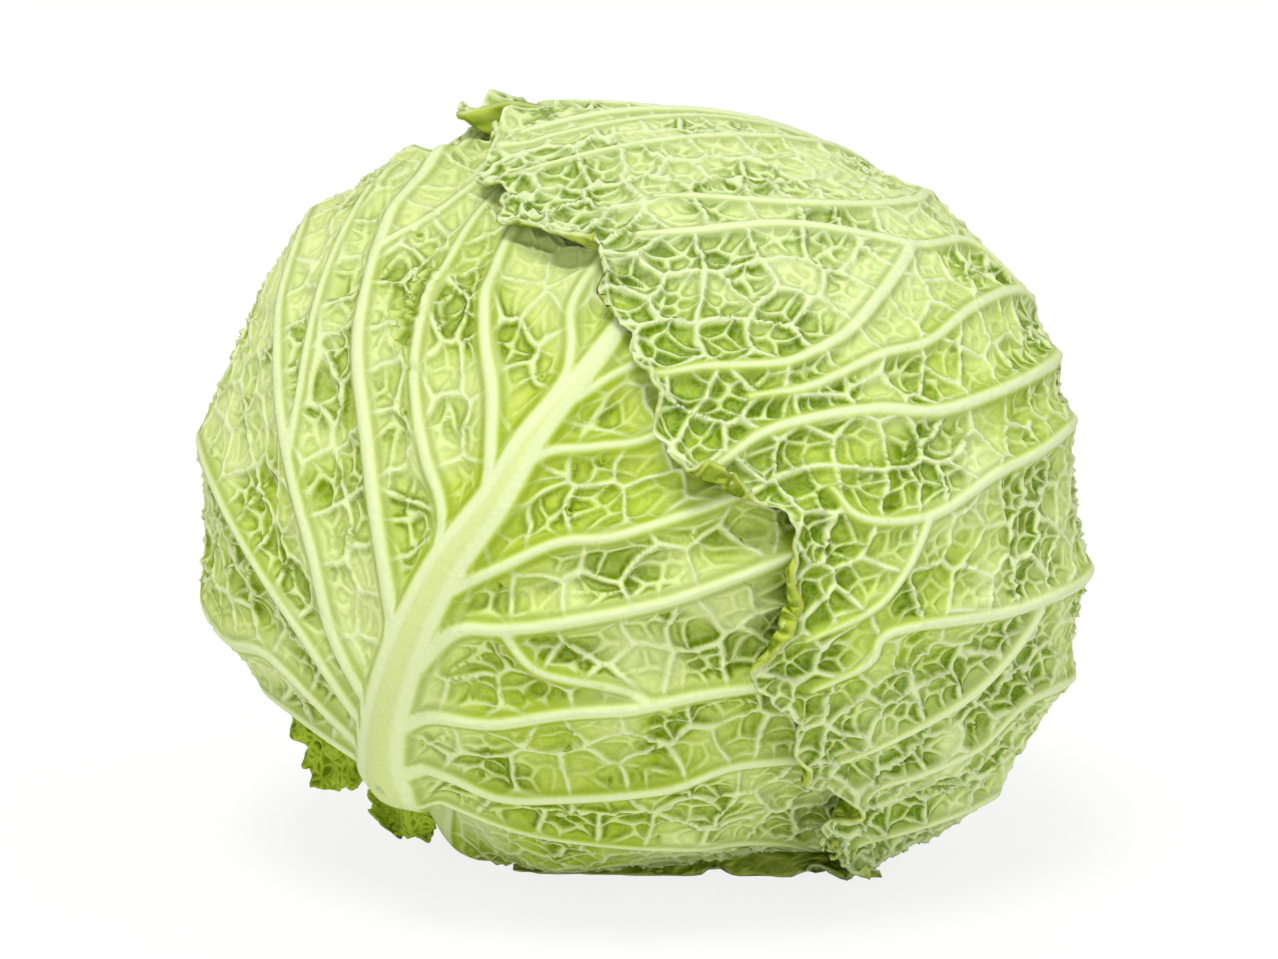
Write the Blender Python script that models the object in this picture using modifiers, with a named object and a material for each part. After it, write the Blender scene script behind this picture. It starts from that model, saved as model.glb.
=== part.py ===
"""Savoy cabbage: a whole head lying on its side, as cut from its stalk.

Metres, +Z up. The origin is under the middle of the head, on the surface that it rests on.
Leaves are thin shells that follow one head shape, each in a layer of its own, so they nest
without touching. Every leaf runs from the stem, at the lower left, towards the far side.
"""

import math

import bmesh
import bpy
import numpy as np
from mathutils import Matrix, Vector

# Head: half sizes of its ellipsoid, and the height of its middle over the floor.
HEAD_HALF = (0.0975, 0.0955, 0.0845)
HEAD_CENTRE = (0.0007, 0.0, 0.0830)

# Swellings of the head: longitude, latitude (degrees), height (metres), spread (degrees).
SWELLINGS = (
    (-6, -30, 0.0085, 24),
    (-14, -54, 0.0080, 18),
    (-33, -72, -0.0030, 16),
    (-155, -68, 0.0040, 16),
    (-177, -15, 0.0035, 20),
    (-170, -37, -0.0090, 13),
    (172, 39, 0.0050, 22),
    (155, 68, 0.0045, 16),
    (7, 34, 0.0025, 20),
    (0, 3, -0.0025, 16),
)

# Stem: where its axis leaves the head, and its length and radii.
STEM_POLE = (-166, -60)
STEM_CUT_RECESS = 0.0065
STEM_CUT_RADIUS = 0.0145
STEM_TOP_RADIUS = 0.0080
STEM_TOP_REACH = 0.0315
STEM_SIDES = 32
STEM_EDGE = 0.0012

# Outer leaves, outermost first: middle of the blade (longitude, latitude), then its margin
# as (angle round the middle, distance from it), all in degrees. Angle 90 points away from
# the stem, and angle 270 at it.
OUTER_THICKNESS = 0.0013
OUTER_SEGMENTS = 20
LAYER_PITCH = 0.0032
SINK_RUN = 18.0
SINK_LEAD = 6.0
OUTER_LEAVES = (
    ("over_leaf", (19, 10), (
        (0, 72), (20, 72), (40, 74), (60, 80), (76, 92), (92, 105), (110, 111), (122, 108),
        (133, 102), (150, 102), (163, 99), (168, 91), (177, 90), (186, 95), (199, 91),
        (212, 87), (240, 78), (249, 86), (256, 106), (262, 118), (270, 118), (278, 118),
        (286, 108), (298, 94), (312, 85), (328, 79), (344, 75),
    )),
    ("front_leaf", (-111, 4), (
        (0, 62), (15, 56), (30, 52), (45, 50), (60, 50), (75, 54), (90, 58), (105, 62),
        (120, 70), (132, 79), (150, 84), (180, 88), (200, 88), (218, 82), (236, 75),
        (254, 69), (270, 66), (280, 68), (292, 76), (308, 82), (330, 82), (345, 74),
    )),
    ("back_leaf", (145, 15), (
        (0, 80), (30, 80), (60, 78), (90, 80), (120, 80), (150, 80), (180, 80), (205, 82),
        (230, 84), (248, 80), (262, 74), (270, 73), (278, 74), (292, 80), (310, 84),
        (335, 82),
    )),
    ("under_leaf", (85, -45), (
        (0, 70), (40, 68), (90, 70), (140, 68), (180, 70), (215, 70), (240, 62), (258, 50),
        (270, 48), (282, 50), (300, 62), (325, 70),
    )),
)

# Inner leaves: each a cup in a layer of its own, turned on round the stem from the last.
INNER_COUNT = 10
INNER_THICKNESS = 0.0019
INNER_SEGMENTS = 10
INNER_FIRST_DEPTH = 0.0130
INNER_PITCH = 0.0048
INNER_LEAN = 78.0
INNER_REACH = 86.0
INNER_NOTCH = 25.0
INNER_NOTCH_SPREAD = 26.0
TURN = 137.5

# Heart: the bud of unopened leaves in the middle.
HEART_DEPTH = 0.0625
HEART_RINGS = 14
HEART_SECTORS = 20

# Torn ends of two old outer leaves, outside the rest: middle, reach along and across
# (degrees), how far they stand off the head at their inner end and how much they flare.
TORN_THICKNESS = 0.0012
TORN_SEGMENTS = 8
TORN_LEAVES = (
    ("torn_leaf_side", (-166, -41), (11.0, 11.0), 0.0022, 0.0125),
    ("torn_leaf_base", (-159, -57), (9.0, 7.0), 0.0030, 0.0030),
)
FLOOR_GAP = 0.0006

# Colours: name, red, green, blue and roughness.
LEAF_COLOURS = {
    "over_leaf": (0.50, 0.62, 0.17, 0.45),
    "front_leaf": (0.58, 0.68, 0.27, 0.45),
    "back_leaf": (0.52, 0.64, 0.20, 0.45),
    "under_leaf": (0.46, 0.58, 0.15, 0.45),
    "torn_leaf_side": (0.20, 0.29, 0.02, 0.50),
    "torn_leaf_base": (0.16, 0.24, 0.02, 0.50),
    "inner_leaf": (0.70, 0.74, 0.40, 0.45),
    "heart": (0.80, 0.80, 0.50, 0.45),
    "stem": (0.72, 0.74, 0.50, 0.60),
}


def unit(vectors):
    """Vectors scaled to length one."""
    return vectors / np.linalg.norm(vectors, axis=-1, keepdims=True)


def towards(longitude, latitude):
    """Unit direction: longitude runs from +X to +Y, latitude up from the XY plane."""
    lon = math.radians(longitude)
    lat = math.radians(latitude)
    return np.array([math.cos(lat) * math.cos(lon), math.cos(lat) * math.sin(lon), math.sin(lat)])


def smooth_step(low, high, values):
    """0 below low, 1 above high, and an S between them."""
    t = np.clip((values - low) / (high - low), 0.0, 1.0)
    return t * t * (3.0 - 2.0 * t)


def head_radius(directions):
    """Distance from the middle of the head to its surface: an ellipsoid plus round swellings."""
    radius = 1.0 / np.sqrt(((directions / np.array(HEAD_HALF)) ** 2).sum(-1))
    for longitude, latitude, height, spread in SWELLINGS:
        sharpness = 1.0 / (1.0 - math.cos(math.radians(spread)))
        nearness = directions @ towards(longitude, latitude) - 1.0
        radius = radius + height * np.exp(sharpness * nearness)
    return radius


def leaf_axes(centre):
    """Outward, rightward and tipward directions at the middle of a blade."""
    outward = towards(*centre)
    stem = towards(*STEM_POLE)
    tipward = unit((stem @ outward) * outward - stem)
    return outward, np.cross(tipward, outward), tipward


def wrap(axes, x, y):
    """Directions of the points (x, y) of a flat blade, in degrees, laid over the head."""
    outward, right, tipward = axes
    reach = np.radians(np.maximum(np.hypot(x, y), 1e-9))
    angle = np.arctan2(y, x)
    side = np.cos(angle)[..., None] * right + np.sin(angle)[..., None] * tipward
    return np.cos(reach)[..., None] * outward + np.sin(reach)[..., None] * side


def unwrap(axes, directions):
    """Where a direction falls on a flat blade: angle round its middle and distance from it."""
    outward, right, tipward = axes
    reach = np.degrees(np.arccos(np.clip(directions @ outward, -1.0, 1.0)))
    angle = np.degrees(np.arctan2(directions @ tipward, directions @ right)) % 360.0
    return angle, reach


def margin_reach(margin, angle):
    """Distance of the margin at an angle: a smooth closed curve through its points."""
    knots = np.array(margin, dtype=float)
    stops = np.concatenate([knots[-2:, 0] - 360.0, knots[:, 0], knots[:3, 0] + 360.0])
    values = np.concatenate([knots[-2:, 1], knots[:, 1], knots[:3, 1]])
    slopes = np.gradient(values, stops)
    angle = np.asarray(angle) % 360.0
    i = np.clip(np.searchsorted(stops, angle, side="right") - 1, 0, len(stops) - 2)
    run = stops[i + 1] - stops[i]
    t = (angle - stops[i]) / run
    start = (1.0 + 2.0 * t) * (1.0 - t) ** 2 * values[i] + t * (1.0 - t) ** 2 * run * slopes[i]
    end = t * t * (3.0 - 2.0 * t) * values[i + 1] - t * t * (1.0 - t) * run * slopes[i + 1]
    return start + end


def disc(u, v):
    """The square from -1 to 1 pressed into a round disc."""
    return u * np.sqrt(1.0 - v * v / 2.0), v * np.sqrt(1.0 - u * u / 2.0)


def layer_depth(rank, directions):
    """How far an outer leaf is pressed in by the leaves that lie over it."""
    depth = np.zeros(directions.shape[:-1])
    for _, centre, margin in OUTER_LEAVES[:rank]:
        angle, reach = unwrap(leaf_axes(centre), directions)
        inside = margin_reach(margin, angle) - reach
        depth = depth + LAYER_PITCH * smooth_step(-SINK_RUN, -SINK_LEAD, inside)
    return depth


def place(directions, depth):
    """Points of the head at a depth under its surface, flattened where it rests."""
    points = np.array(HEAD_CENTRE) + (head_radius(directions) - depth)[..., None] * directions
    points[..., 2] = np.maximum(points[..., 2], depth)
    return points


def make_material(name, red, green, blue, roughness):
    """A Principled material in one colour."""
    material = bpy.data.materials.new(name)
    material.use_nodes = True
    shader = material.node_tree.nodes["Principled BSDF"]
    shader.inputs["Base Color"].default_value = (red, green, blue, 1.0)
    shader.inputs["Roughness"].default_value = roughness
    shader.inputs["Metallic"].default_value = 0.0
    material.diffuse_color = (red, green, blue, 1.0)
    return material


def make_object(name, mesh_data, material, collection):
    """An object from a bmesh, smooth shaded, in the head's collection."""
    mesh = bpy.data.meshes.new(name)
    mesh_data.to_mesh(mesh)
    mesh_data.free()
    mesh.shade_smooth()
    mesh.materials.append(material)
    obj = bpy.data.objects.new(name, mesh)
    collection.objects.link(obj)
    return obj


def make_sheet(name, segments, shape, thickness, material, collection):
    """A leaf: a flat grid moved onto its curved shape, then thickened inwards."""
    sheet = bmesh.new()
    bmesh.ops.create_grid(sheet, x_segments=segments, y_segments=segments, size=1.0)
    flat = np.array([vertex.co[:2] for vertex in sheet.verts])
    points = shape(*disc(flat[:, 0], flat[:, 1]))
    for vertex, point in zip(sheet.verts, points, strict=True):
        vertex.co = Vector(point)
    obj = make_object(name, sheet, material, collection)
    solidify = obj.modifiers.new("thickness", "SOLIDIFY")
    solidify.thickness = thickness
    solidify.offset = -1.0
    return obj


def make_outer_leaf(rank, material, collection):
    """A wrapper leaf in the outer layers, pressed in where others lie over it."""
    name, centre, margin = OUTER_LEAVES[rank]
    axes = leaf_axes(centre)

    def shape(x, y):
        reach = margin_reach(margin, np.degrees(np.arctan2(y, x)))
        directions = wrap(axes, x * reach, y * reach)
        return place(directions, layer_depth(rank, directions))

    return make_sheet(name, OUTER_SEGMENTS, shape, OUTER_THICKNESS, material, collection)


def inner_centre(index):
    """Middle of an inner leaf: leant away from the stem, and turned round it by its number."""
    stem = Vector(towards(*STEM_POLE))
    side = stem.orthogonal().normalized()
    around = Matrix.Rotation(math.radians(TURN * index), 3, stem) @ side
    lean = math.radians(INNER_LEAN)
    direction = math.cos(lean) * stem + math.sin(lean) * around
    return math.degrees(math.atan2(direction.y, direction.x)), math.degrees(math.asin(direction.z))


def make_inner_leaf(index, material, collection):
    """A cupped leaf inside the head, with a notch in its base for the stem."""
    axes = leaf_axes(inner_centre(index))
    depth = INNER_FIRST_DEPTH + INNER_PITCH * index

    def shape(x, y):
        angle = np.degrees(np.arctan2(y, x))
        off_base = np.abs((angle + 90.0 + 180.0) % 360.0 - 180.0)
        notch = INNER_NOTCH * np.exp(-((off_base / INNER_NOTCH_SPREAD) ** 2))
        reach = INNER_REACH - notch
        directions = wrap(axes, x * reach, y * reach)
        return place(directions, np.full(directions.shape[:-1], depth))

    name = f"inner_leaf_{index + 1:02d}"
    return make_sheet(name, INNER_SEGMENTS, shape, INNER_THICKNESS, material, collection)


def make_torn_leaf(name, centre, reaches, stand_off, flare, material, collection):
    """The torn end of an old leaf: a small patch that stands off the head and flares out."""
    axes = leaf_axes(centre)
    across, along = reaches

    def shape(x, y):
        directions = wrap(axes, x * across, y * along)
        rise = stand_off + flare * smooth_step(-1.0, 1.0, y)
        points = place(directions, np.zeros(directions.shape[:-1]))
        points = points + rise[..., None] * directions
        points[..., 2] = np.maximum(points[..., 2], FLOOR_GAP)
        return points

    return make_sheet(name, TORN_SEGMENTS, shape, TORN_THICKNESS, material, collection)


def make_stem(material, collection):
    """The stem: a cone that widens to its cut face, set a little back between the leaf bases."""
    axis = towards(*STEM_POLE)
    cut_reach = float(head_radius(axis)) - STEM_CUT_RECESS
    length = cut_reach - STEM_TOP_REACH
    middle = Vector(HEAD_CENTRE) + Vector(axis) * (STEM_TOP_REACH + length / 2.0)
    turn = Vector((0.0, 0.0, 1.0)).rotation_difference(Vector(axis)).to_matrix().to_4x4()
    cone = bmesh.new()
    bmesh.ops.create_cone(
        cone,
        cap_ends=True,
        segments=STEM_SIDES,
        radius1=STEM_TOP_RADIUS,
        radius2=STEM_CUT_RADIUS,
        depth=length,
        matrix=Matrix.Translation(middle) @ turn,
    )
    obj = make_object("stem", cone, material, collection)
    bevel = obj.modifiers.new("worn_edge", "BEVEL")
    bevel.width = STEM_EDGE
    bevel.segments = 2
    return obj


def make_heart(material, collection):
    """The heart: a closed bud that keeps the shape of the head."""
    bud = bmesh.new()
    bmesh.ops.create_uvsphere(bud, u_segments=HEART_SECTORS, v_segments=HEART_RINGS, radius=1.0)
    directions = unit(np.array([vertex.co[:] for vertex in bud.verts]))
    points = place(directions, np.full(len(directions), HEART_DEPTH))
    for vertex, point in zip(bud.verts, points, strict=True):
        vertex.co = Vector(point)
    return make_object("heart", bud, material, collection)


def main():
    """Clear the scene and build every piece of the head."""
    for obj in list(bpy.data.objects):
        bpy.data.objects.remove(obj, do_unlink=True)
    collection = bpy.data.collections.new("savoy_cabbage")
    bpy.context.scene.collection.children.link(collection)
    materials = {name: make_material(name, *look) for name, look in LEAF_COLOURS.items()}

    make_stem(materials["stem"], collection)
    make_heart(materials["heart"], collection)
    for index in range(INNER_COUNT):
        make_inner_leaf(index, materials["inner_leaf"], collection)
    for rank, leaf in enumerate(OUTER_LEAVES):
        make_outer_leaf(rank, materials[leaf[0]], collection)
    for name, centre, reaches, stand_off, flare in TORN_LEAVES:
        make_torn_leaf(name, centre, reaches, stand_off, flare, materials[name], collection)


main()
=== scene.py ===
"""Savoy cabbage: the looks of a whole head lying on its side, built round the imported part.

Metres, +Z up. Each outer leaf is a closed shell worked out with numpy: a flat blade in degrees is
wrapped over the head, pressed in where other leaves lie on it, pleated between its veins,
and covered with a net of small ridges round sunken cells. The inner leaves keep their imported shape.
"""

import math
from functools import partial

import bpy
import numpy as np
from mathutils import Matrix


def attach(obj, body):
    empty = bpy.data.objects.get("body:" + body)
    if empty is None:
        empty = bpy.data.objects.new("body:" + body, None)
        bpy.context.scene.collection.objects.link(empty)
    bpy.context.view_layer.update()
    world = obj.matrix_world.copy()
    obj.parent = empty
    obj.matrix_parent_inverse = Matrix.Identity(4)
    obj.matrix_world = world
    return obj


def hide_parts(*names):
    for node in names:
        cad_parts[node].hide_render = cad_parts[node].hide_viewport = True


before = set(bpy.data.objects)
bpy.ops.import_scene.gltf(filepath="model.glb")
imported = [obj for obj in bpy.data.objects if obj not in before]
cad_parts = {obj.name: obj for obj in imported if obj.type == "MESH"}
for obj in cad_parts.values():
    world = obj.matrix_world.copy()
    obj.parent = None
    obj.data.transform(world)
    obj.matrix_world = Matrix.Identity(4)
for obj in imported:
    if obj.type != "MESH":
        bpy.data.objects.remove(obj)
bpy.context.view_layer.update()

# Head: half sizes of its ellipsoid, the height of its middle, and its swellings as
# longitude, latitude (degrees), height (metres) and spread (degrees).
HEAD_HALF = (0.0975, 0.0955, 0.0845)
HEAD_CENTRE = np.array([0.0007, 0.0, 0.0830])
SWELLINGS = (
    (-6, -30, 0.0085, 24), (-14, -54, 0.0080, 18), (-33, -72, -0.0030, 16), (-155, -68, 0.0040, 16),
    (-177, -15, 0.0035, 20), (-170, -37, -0.0090, 13), (172, 39, 0.0050, 22), (155, 68, 0.0045, 16),
    (7, 34, 0.0025, 20), (0, 3, -0.0025, 16),
)
STEM_POLE = (-166, -60)

# Layers: how far each leaf presses in the ones below it (metres), and over what run of degrees.
LAYER_PITCH = 0.0032
SINK_RUN = 18.0
SINK_LEAD = 6.0
# How much deeper a leaf is tucked well under another, and over what run of degrees.
TUCK = 0.0034
TUCK_RUN = (2.0, 10.0)
# Degrees under another leaf's margin over which the relief dies away.
HIDE_RUN = (4.0, 14.0)
# About how long one degree of a blade is along the head.
DEGREE = 0.00165

# Outer leaves, outermost first: middle of the blade (longitude, latitude), then the margin
# as (angle round the middle, distance from it), in degrees. Angle 270 points at the stem.
OUTER_LEAVES = (
    ("over_leaf", (19, 10), (
        (0, 72), (20, 72), (40, 74), (58, 80), (66, 92), (73, 101), (78, 103), (82.5, 104), (85, 93),
        (87, 99), (90, 103), (97, 106), (102, 110), (110, 109), (116, 111), (122, 108), (129, 102),
        (133, 103), (150, 102), (163, 100), (168, 92), (177, 92), (186, 97), (199, 92), (206, 91),
        (210, 88), (214, 83), (219, 86), (224, 86), (230, 82), (240, 78), (249, 86), (256, 106),
        (262, 118), (270, 118), (278, 118), (286, 108), (298, 94), (312, 85), (328, 79), (344, 75),
    )),
    ("front_leaf", (-111, 4), (
        (0, 62), (15, 56), (30, 52), (45, 50), (60, 50), (75, 54), (90, 58), (105, 62),
        (120, 70), (132, 79), (150, 84), (180, 88), (200, 88), (218, 82), (236, 75),
        (254, 69), (270, 66), (277, 72), (285, 80), (295, 87), (308, 88), (330, 82), (345, 74),
    )),
    ("back_leaf", (145, 15), (
        (0, 80), (30, 80), (60, 78), (90, 80), (120, 80), (150, 80), (180, 80), (205, 82),
        (230, 84), (248, 80), (262, 74), (270, 73), (278, 74), (292, 80), (310, 84),
        (335, 82),
    )),
    ("under_leaf", (85, -45), (
        (0, 70), (40, 68), (90, 70), (140, 68), (180, 70), (215, 70), (240, 62), (258, 50),
        (270, 48), (282, 50), (300, 62), (325, 70),
    )),
)

# Midribs and veins. Places are in blade degrees (right, tipward), widths and heights in mm. A
# midrib is a row of places, each with its half width and height. A vein is its half width at the
# start and end, its height at the start and end, then its places from the midrib outwards.
MM = 0.001
MIDRIB_FRONT = (
    (0, -67, 5.0, 0.3), (-1, -54, 5.4, 0.4), (-1, -48, 6.4, 1.4), (-1, -43.5, 6.8, 5.4),
    (-1, -39, 6.2, 6.6), (-2, -33, 5.0, 5.6), (-2, -20, 4.5, 4.8), (-1, -5, 4.1, 4.2),
    (1, 6, 3.5, 3.6), (1, 15, 2.8, 2.6), (2, 27, 2.0, 1.5), (2, 40, 1.3, 1.0), (3, 56, 0.8, 0.8))
VEINS_FRONT = (
    ((1.4, 0.6, 1.6, 0.79), ((-3, -44), (-10, -42), (-22, -43), (-34, -50), (-42, -60))),
    ((1.4, 0.6, 1.8, 0.79), ((-3, -40), (-10, -36), (-24, -33), (-36, -40), (-52, -44), (-66, -50))),
    ((1.4, 0.6, 1.8, 0.71), ((-3, -35), (-8, -31), (-19, -24), (-36, -19), (-54, -18), (-78, -24))),
    ((1.4, 0.6, 1.8, 0.79), ((-2, -31), (-12, -22), (-19, -13), (-29, -5), (-42, 4), (-50, 9),
        (-62, 18), (-76, 22))),
    ((1.5, 0.6, 2.1, 0.79), ((-2, -19), (-8, -9), (-16, 1), (-21, 6), (-29, 13), (-36, 21), (-46, 32),
        (-56, 48), (-60, 54))),
    ((0.8, 0.4, 1.1, 0.56), ((-29, -5), (-34, 4), (-44, 16), (-54, 28), (-64, 38))),
    ((0.8, 0.4, 1.1, 0.56), ((-39, 25), (-39, 33), (-40, 44), (-44, 56))),
    ((1, 0.4, 1.5, 0.63), ((-1, -5), (-5, 2), (-10, 6), (-18, 14), (-24, 23), (-30, 34), (-34, 44))),
    ((1.2, 0.5, 1.7, 0.71), ((0, 6), (-6, 16), (-12, 22), (-18, 29), (-22, 36), (-26, 48))),
    ((0.9, 0.4, 1.1, 0.56), ((0, 13), (0, 22), (-2, 27), (-6, 33), (-8, 46))),
    ((0.8, 0.4, 0.95, 0.5), ((3, -42), (10, -42), (20, -42), (34, -39), (48, -37), (60, -40), (68, -44))),
    ((1.4, 0.7, 2, 0.79), ((0, -35), (8, -34), (15, -34), (24, -29), (34, -23), (43, -17), (54, -13),
        (70, -10))),
    ((1.4, 0.7, 2, 0.87), ((0, -27), (4, -24), (11, -21), (19, -15), (28, -10), (35, -6), (42, -2),
        (56, 6), (64, 10))),
    ((1.3, 0.6, 1.7, 0.79), ((0, -18), (3, -11), (8, -8), (14, -4), (28, 7), (38, 17), (46, 24))),
    ((1, 0.5, 1.5, 0.63), ((1, -6), (5, -1), (10, 5), (16, 9), (26, 19), (34, 30))),
    ((0.9, 0.4, 1.2, 0.56), ((1, 5), (3, 13), (8, 17), (14, 22), (20, 34))),
    ((0.7, 0.4, 0.95, 0.5), ((2, 19), (5, 26), (10, 34), (14, 44))),
    ((0.8, 0.4, 1, 0.56), ((8, -8), (14, -11), (24, -9), (31, -10))),
)
MIDRIB_OVER = (
    (0, -118, 8.0, 4.5), (3, -104, 7.0, 5.5), (8, -84, 6.0, 5.0), (13, -60, 5.0, 4.4), (18, -30, 4.0, 3.6),
    (19, -10, 3.2, 3.0), (16, 15, 2.6, 2.6), (10, 40, 2.0, 2.2), (4, 68, 1.3, 1.6), (-6, 100, 0.7, 0.9))
VEINS_OVER = (
    ((1.1, 0.48, 1.4, 0.5), ((18, -2), (2, 9), (-12, 17), (-22, 22), (-25, 33), (-39, 41), (-49, 58),
        (-56, 68), (-59, 76))),
    ((0.89, 0.4, 1.1, 0.5), ((-39, 41), (-53, 40), (-62, 39), (-67, 39), (-75, 41), (-82, 48),
        (-87, 52))),
    ((0.89, 0.4, 1.2, 0.5), ((-22, 22), (-32, 26), (-44, 29), (-56, 30), (-64, 33), (-75, 35),
        (-82, 39))),
    ((1.3, 0.57, 2, 0.67), ((19, -9), (0, 4), (-16, 10), (-33, 14), (-52, 18), (-63, 21), (-70, 26),
        (-78, 30), (-85, 32), (-94, 30))),
    ((1.3, 0.47, 2, 0.59), ((19, -16), (0, -5), (-16, 1), (-33, 5), (-49, 7), (-59, 8), (-71, 7),
        (-80, 11), (-82, 18))),
    ((0.76, 0.4, 1, 0.5), ((-71, 7), (-76, 0), (-81, -5), (-90, -8))),
    ((1.4, 0.57, 2.1, 0.67), ((18, -27), (0, -23), (-24, -17), (-48, -14), (-59, -13), (-78, -10),
        (-81, -15), (-88, -19))),
    ((1.1, 0.47, 1.5, 0.59), ((-51, -15), (-60, -25), (-67, -30), (-77, -37))),
    ((1.3, 0.47, 2, 0.59), ((16, -42), (-4, -38), (-18, -33), (-32, -30), (-47, -30), (-52, -37),
        (-59, -41), (-68, -45))),
    ((1.3, 0.47, 1.8, 0.59), ((13, -60), (-8, -54), (-22, -50), (-33, -48), (-43, -52), (-52, -60))),
    ((1.2, 0.47, 1.6, 0.59), ((9, -78), (-8, -70), (-20, -66), (-30, -70))),
    ((1, 0.4, 1.3, 0.5), ((17, 8), (4, 28), (-10, 38), (-22, 42), (-35, 50), (-44, 62), (-47, 78))),
    ((0.97, 0.4, 1.2, 0.5), ((13, 28), (0, 48), (-12, 60), (-22, 78), (-30, 102))),
    ((0.81, 0.4, 1, 0.5), ((8, 50), (0, 66), (-8, 84), (-14, 104))),
    ((1.2, 0.57, 1.7, 0.67), ((18, -4), (34, 10), (50, 18), (66, 22))),
    ((1.2, 0.57, 1.7, 0.67), ((16, 14), (30, 30), (44, 40), (56, 46))),
    ((1.1, 0.47, 1.6, 0.59), ((11, 36), (24, 52), (34, 62), (40, 74))),
    ((0.95, 0.47, 1.3, 0.59), ((6, 58), (14, 74), (20, 90))),
    ((1.3, 0.57, 1.8, 0.67), ((18, -24), (36, -14), (52, -8), (70, -6))),
    ((1.3, 0.57, 1.8, 0.67), ((16, -44), (36, -36), (54, -32), (70, -30))),
    ((1.3, 0.57, 1.8, 0.67), ((12, -64), (30, -58), (48, -56), (64, -56))),
    ((1.2, 0.47, 1.6, 0.59), ((8, -84), (22, -80), (36, -80), (46, -80))),
)

# Calm spots, where the net is faint: place in blade degrees, spread (degrees) and how calm.
CALM_FRONT = (
    (-62, 12, 9, 0.8), (-54, -8, 8, 0.7), (-72, 24, 9, 0.7), (4, -54, 9, 0.85), (12, -58, 7, 0.8),
    (-42, 42, 16, 0.8), (-14, 36, 9, 0.6), (-52, 16, 8, 0.4), (-74, -14, 12, 0.5))
CALM_OVER = ((-44, 34, 12, 0.7), (-22, 54, 14, 0.5), (4, 4, 22, 0.5), (-58, 16, 8, 0.4))

# Where a leaf's edge runs plain, from one angle round the blade to another.
PLAIN_EDGES = {"front_leaf": (262.0, 324.0)}

# Edge curls: angle round the blade, spread (degrees), length rolled back and roll radius (mm).
CURLS_OVER = (
    (90, 1.5, 3.0, 2.0), (112, 1.6, 2.6, 1.8), (127, 1.8, 2.6, 1.8),
    (164, 2.6, 4.5, 2.0), (180, 7.0, 3.8, 1.25), (204, 2.2, 3.2, 2.0),
    (227, 2.0, 3.2, 1.8), (236, 3.0, 5.0, 2.2),
)
# A corner of the over leaf stands up along a line: the line's ends in blade degrees, radius of
# the bend (mm), how far it is bent (degrees) and the angle round the blade where it ends.
FLAPS_OVER = (((11.5, 93), (17.5, 104), 2.4, 112.0, 82.0),)


def unit(vectors):
    """Vectors scaled to length one."""
    return vectors / np.maximum(np.linalg.norm(vectors, axis=-1, keepdims=True), 1e-12)


def towards(longitude, latitude):
    """Unit direction: longitude runs from +X to +Y, latitude up from the XY plane."""
    lon = math.radians(longitude)
    lat = math.radians(latitude)
    return np.array([math.cos(lat) * math.cos(lon), math.cos(lat) * math.sin(lon), math.sin(lat)])


def smooth_step(low, high, values):
    """0 below low, 1 above high, and an S between them."""
    t = np.clip((values - low) / (high - low), 0.0, 1.0)
    return t * t * (3.0 - 2.0 * t)


def hump(offset, spread):
    """A bell: 1 at no offset, falling to 1/e at the spread."""
    return np.exp(-((offset / spread) ** 2))


def round_spot(directions, middle, spread):
    """A round bell on the sphere of directions: 1 at its middle, 1/e at the spread (degrees)."""
    return np.exp((directions @ middle - 1.0) / (1.0 - math.cos(math.radians(spread))))


def head_radius(directions):
    """Distance from the middle of the head to its surface: an ellipsoid plus round swellings."""
    radius = 1.0 / np.sqrt(((directions / np.array(HEAD_HALF)) ** 2).sum(-1))
    for longitude, latitude, height, spread in SWELLINGS:
        radius = radius + height * round_spot(directions, towards(longitude, latitude), spread)
    return radius


def leaf_axes(centre):
    """Outward, rightward and tipward directions at the middle of a blade."""
    outward = towards(*centre)
    stem = towards(*STEM_POLE)
    tipward = unit((stem @ outward) * outward - stem)
    return outward, np.cross(tipward, outward), tipward


def wrap(axes, x, y):
    """Directions of the points (x, y) of a flat blade, in degrees, laid over the head."""
    outward, right, tipward = axes
    reach = np.radians(np.maximum(np.hypot(x, y), 1e-9))
    angle = np.arctan2(y, x)
    side = np.cos(angle)[..., None] * right + np.sin(angle)[..., None] * tipward
    return np.cos(reach)[..., None] * outward + np.sin(reach)[..., None] * side


def unwrap(axes, directions):
    """Where a direction falls on a flat blade: angle round its middle and distance from it."""
    outward, right, tipward = axes
    reach = np.degrees(np.arccos(np.clip(directions @ outward, -1.0, 1.0)))
    angle = np.degrees(np.arctan2(directions @ tipward, directions @ right)) % 360.0
    return angle, reach


def margin_reach(margin, angle):
    """Distance of the margin at an angle: a smooth closed curve through its points."""
    knots = np.array(margin, dtype=float)
    stops = np.concatenate([knots[-2:, 0] - 360.0, knots[:, 0], knots[:3, 0] + 360.0])
    values = np.concatenate([knots[-2:, 1], knots[:, 1], knots[:3, 1]])
    slopes = np.gradient(values, stops)
    angle = np.asarray(angle) % 360.0
    i = np.clip(np.searchsorted(stops, angle, side="right") - 1, 0, len(stops) - 2)
    run = stops[i + 1] - stops[i]
    t = (angle - stops[i]) / run
    start = (1.0 + 2.0 * t) * (1.0 - t) ** 2 * values[i] + t * (1.0 - t) ** 2 * run * slopes[i]
    end = t * t * (3.0 - 2.0 * t) * values[i + 1] - t * t * (1.0 - t) * run * slopes[i + 1]
    return start + end


def disc(u, v):
    """The square from -1 to 1 pressed into a round disc."""
    return u * np.sqrt(1.0 - v * v / 2.0), v * np.sqrt(1.0 - u * u / 2.0)


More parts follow.
